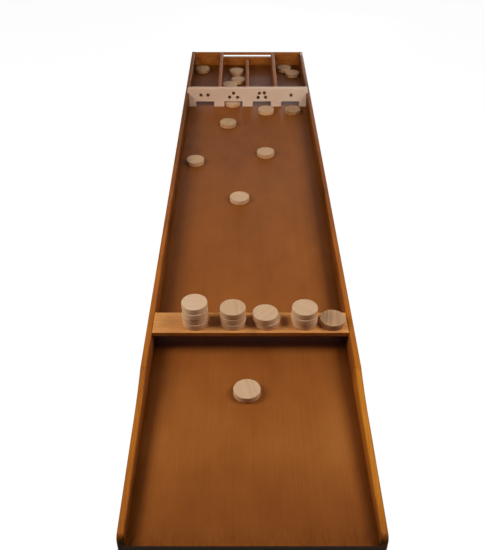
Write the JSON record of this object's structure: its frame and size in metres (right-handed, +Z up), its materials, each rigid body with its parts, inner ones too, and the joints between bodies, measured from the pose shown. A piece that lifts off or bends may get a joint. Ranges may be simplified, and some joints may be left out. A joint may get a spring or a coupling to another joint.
{
  "type": "dutch shuffleboard",
  "caption": "Long shallow wooden tray with a start bar, a board with four dotted gates, compartments behind them, and loose wooden discs.",
  "frame": {"origin": "on the table under the middle of the board: the bottom centre of its box", "axes": "+X across the board to the player's right, +Y along it away from the player, towards the gates, +Z up"},
  "size_m": [0.41, 2, 0.122],
  "materials": {
    "stained_wood": "brown-stained beech, satin lacquer",
    "floor_veneer": "brown-stained veneer with fine lengthwise grain, satin lacquer",
    "beech": "pale beech, thin satin lacquer",
    "disc_beech": "pale turned beech, waxed",
    "batten_wood": "dark-stained sawn softwood, matt",
    "rubber": "matt black rubber",
    "zinc_steel": "zinc-plated countersunk screw heads"
  },
  "bodies": {
    "board": {"floor_panel": "floor_veneer", "left_rail": "stained_wood", "right_rail": "stained_wood", "back_wall": "stained_wood", "start_bar": "stained_wood", "gate_board": "beech", "left_divider": "stained_wood", "middle_divider": "stained_wood", "right_divider": "stained_wood", "front_batten": "batten_wood", "start_batten": "batten_wood", "field_batten": "batten_wood", "rear_batten": "batten_wood", "start_bar_screws": "zinc_steel", "gate_board_screws": "zinc_steel", "back_wall_screws": "zinc_steel", "divider_screws": "zinc_steel", "batten_screws": "zinc_steel", "front_left_foot": "rubber", "front_right_foot": "rubber", "start_left_foot": "rubber", "start_right_foot": "rubber", "field_left_foot": "rubber", "field_right_foot": "rubber", "rear_left_foot": "rubber", "rear_right_foot": "rubber"},
    "stack_1_disc_1": {"stack_1_disc_1": "disc_beech"},
    "stack_1_disc_2": {"stack_1_disc_2": "disc_beech"},
    "stack_1_disc_3": {"stack_1_disc_3": "disc_beech"},
    "stack_1_disc_4": {"stack_1_disc_4": "disc_beech"},
    "stack_2_disc_1": {"stack_2_disc_1": "disc_beech"},
    "stack_2_disc_2": {"stack_2_disc_2": "disc_beech"},
    "stack_2_disc_3": {"stack_2_disc_3": "disc_beech"},
    "stack_3_disc_1": {"stack_3_disc_1": "disc_beech"},
    "stack_3_disc_2": {"stack_3_disc_2": "disc_beech"},
    "stack_4_disc_1": {"stack_4_disc_1": "disc_beech"},
    "stack_4_disc_2": {"stack_4_disc_2": "disc_beech"},
    "stack_4_disc_3": {"stack_4_disc_3": "disc_beech"},
    "stack_5_disc_1": {"stack_5_disc_1": "disc_beech"},
    "field_disc_1": {"field_disc_1": "disc_beech"},
    "field_disc_2": {"field_disc_2": "disc_beech"},
    "field_disc_3": {"field_disc_3": "disc_beech"},
    "field_disc_4": {"field_disc_4": "disc_beech"},
    "field_disc_5": {"field_disc_5": "disc_beech"},
    "field_disc_6": {"field_disc_6": "disc_beech"},
    "field_disc_7": {"field_disc_7": "disc_beech"},
    "field_disc_8": {"field_disc_8": "disc_beech"},
    "scored_disc_1": {"scored_disc_1": "disc_beech"},
    "scored_disc_2": {"scored_disc_2": "disc_beech"},
    "scored_disc_3": {"scored_disc_3": "disc_beech"},
    "scored_disc_4": {"scored_disc_4": "disc_beech"},
    "scored_disc_5": {"scored_disc_5": "disc_beech"},
    "scored_disc_6": {"scored_disc_6": "disc_beech"}
  },
  "joints": [
    {"name": "stack_1_lift_1", "type": "slide", "parent": "board", "child": "stack_1_disc_1", "axis": [0, 0, 1], "range_m": [0, 0.05]},
    {"name": "stack_1_lift_2", "type": "slide", "parent": "stack_1_disc_1", "child": "stack_1_disc_2", "axis": [0, 0, 1], "range_m": [0, 0.05]},
    {"name": "stack_1_lift_3", "type": "slide", "parent": "stack_1_disc_2", "child": "stack_1_disc_3", "axis": [0, 0, 1], "range_m": [0, 0.05]},
    {"name": "stack_1_lift_4", "type": "slide", "parent": "stack_1_disc_3", "child": "stack_1_disc_4", "axis": [0, 0, 1], "range_m": [0, 0.05]},
    {"name": "stack_2_lift_1", "type": "slide", "parent": "board", "child": "stack_2_disc_1", "axis": [0, 0, 1], "range_m": [0, 0.05]},
    {"name": "stack_2_lift_2", "type": "slide", "parent": "stack_2_disc_1", "child": "stack_2_disc_2", "axis": [0, 0, 1], "range_m": [0, 0.05]},
    {"name": "stack_2_lift_3", "type": "slide", "parent": "stack_2_disc_2", "child": "stack_2_disc_3", "axis": [0, 0, 1], "range_m": [0, 0.05]},
    {"name": "stack_3_lift_1", "type": "slide", "parent": "board", "child": "stack_3_disc_1", "axis": [0, 0, 1], "range_m": [0, 0.05]},
    {"name": "stack_3_lift_2", "type": "slide", "parent": "stack_3_disc_1", "child": "stack_3_disc_2", "axis": [0, 0, 1], "range_m": [0, 0.05]},
    {"name": "stack_4_lift_1", "type": "slide", "parent": "board", "child": "stack_4_disc_1", "axis": [0, 0, 1], "range_m": [0, 0.05]},
    {"name": "stack_4_lift_2", "type": "slide", "parent": "stack_4_disc_1", "child": "stack_4_disc_2", "axis": [0, 0, 1], "range_m": [0, 0.05]},
    {"name": "stack_4_lift_3", "type": "slide", "parent": "stack_4_disc_2", "child": "stack_4_disc_3", "axis": [0, 0, 1], "range_m": [0, 0.05]},
    {"name": "stack_5_lift_1", "type": "slide", "parent": "board", "child": "stack_5_disc_1", "axis": [0, 0, 1], "range_m": [0, 0.05]},
    {"name": "field_slide_1", "type": "slide", "parent": "board", "child": "field_disc_1", "axis": [0, 1, 0], "range_m": [-0.28, 0.64]},
    {"name": "field_slide_2", "type": "slide", "parent": "board", "child": "field_disc_2", "axis": [0, 1, 0], "range_m": [-0.5, 0.41]},
    {"name": "field_slide_3", "type": "slide", "parent": "board", "child": "field_disc_3", "axis": [0, 1, 0], "range_m": [-1.2, 0.24]},
    {"name": "field_slide_4", "type": "slide", "parent": "board", "child": "field_disc_4", "axis": [0, 1, 0], "range_m": [-1.15, 0.37]},
    {"name": "field_slide_5", "type": "slide", "parent": "board", "child": "field_disc_5", "axis": [0, 1, 0], "range_m": [-0.4, 0.1]},
    {"name": "field_slide_6", "type": "slide", "parent": "board", "child": "field_disc_6", "axis": [0, 1, 0], "range_m": [-0.24, 0.024]},
    {"name": "field_slide_7", "type": "slide", "parent": "board", "child": "field_disc_7", "axis": [0, 1, 0], "range_m": [-1.5, 0.032]},
    {"name": "field_slide_8", "type": "slide", "parent": "board", "child": "field_disc_8", "axis": [0, 1, 0], "range_m": [-0.1, 0.09]},
    {"name": "scored_lift_1", "type": "slide", "parent": "board", "child": "scored_disc_1", "axis": [0, 0, 1], "range_m": [0, 0.09]},
    {"name": "scored_lift_2", "type": "slide", "parent": "board", "child": "scored_disc_2", "axis": [0, 0, 1], "range_m": [0, 0.09]},
    {"name": "scored_lift_3", "type": "slide", "parent": "board", "child": "scored_disc_3", "axis": [0, 0, 1], "range_m": [0, 0.09]},
    {"name": "scored_lift_4", "type": "slide", "parent": "board", "child": "scored_disc_4", "axis": [0, 0, 1], "range_m": [0, 0.09]},
    {"name": "scored_lift_5", "type": "slide", "parent": "board", "child": "scored_disc_5", "axis": [0, 0, 1], "range_m": [0, 0.09]},
    {"name": "scored_lift_6", "type": "slide", "parent": "board", "child": "scored_disc_6", "axis": [0, 0, 1], "range_m": [0, 0.09]}
  ]
}
